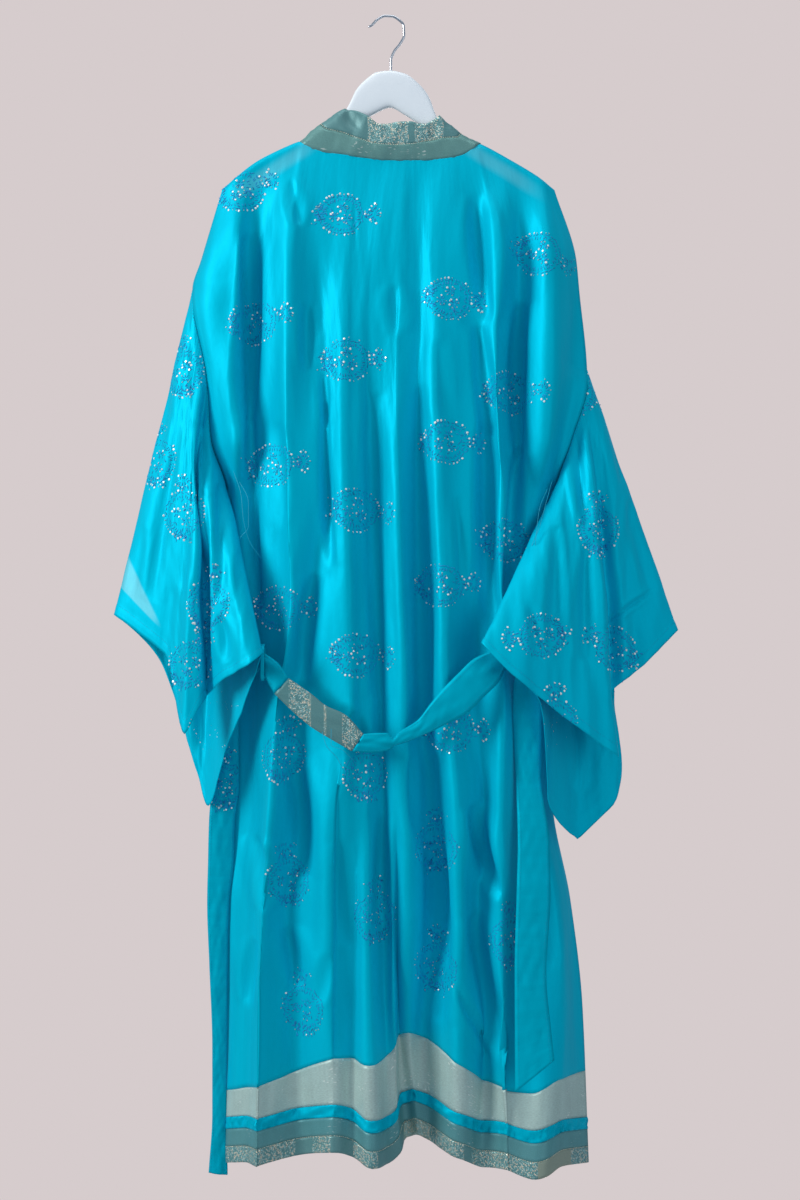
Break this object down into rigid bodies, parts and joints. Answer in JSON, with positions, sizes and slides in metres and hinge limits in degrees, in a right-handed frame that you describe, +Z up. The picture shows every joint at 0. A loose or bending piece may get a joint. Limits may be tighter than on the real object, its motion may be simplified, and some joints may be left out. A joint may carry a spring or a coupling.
{
  "type": "silk kimono robe with a tie belt on a coat hanger",
  "caption": "Long open kimono robe of embroidered silk with wide hanging sleeves, a neckband, banded hems and a tie belt, hung on a painted wooden coat hanger with a wire hook.",
  "frame": {"origin": "inner top of the hook, where the rail carries it", "axes": "+Z up; the back of the robe faces -Y; the wearer's left is -X"},
  "size_m": [0.774, 0.2319, 1.5871],
  "materials": {
    "silk": "glossy turquoise silk",
    "sleeve_silk": "glossy turquoise silk",
    "belt_silk": "glossy turquoise silk",
    "silver_zari": "woven metallic sage",
    "turquoise_strip": "gathered silk strip",
    "teal_zari": "woven metallic teal",
    "brocade": "patchwork brocade with metallic yarn",
    "white_paint": "painted white",
    "chrome": "polished wire"
  },
  "bodies": {
    "root": {"hanger_body": "white_paint", "hanger_hook": "chrome", "back_panel": "silk", "front_left_panel": "silk", "front_right_panel": "silk", "sleeve_left": "sleeve_silk", "sleeve_right": "sleeve_silk", "neckband_outer_strip": "teal_zari", "neckband_inner_strip": "brocade", "belt_left_run": "belt_silk", "belt_patch": "brocade", "belt_right_run": "belt_silk", "belt_left_end": "belt_silk", "belt_right_end": "belt_silk", "belt_loop_left": "belt_silk", "belt_loop_right": "belt_silk", "back_silver_band": "silver_zari", "back_turquoise_band": "turquoise_strip", "back_teal_band": "teal_zari", "back_patch_hem": "brocade", "front_left_silver_band": "silver_zari", "front_left_turquoise_band": "turquoise_strip", "front_left_teal_band": "teal_zari", "front_left_patch_hem": "brocade", "front_right_silver_band": "silver_zari", "front_right_turquoise_band": "turquoise_strip", "front_right_teal_band": "teal_zari", "front_right_patch_hem": "brocade"}
  },
  "joints": []
}
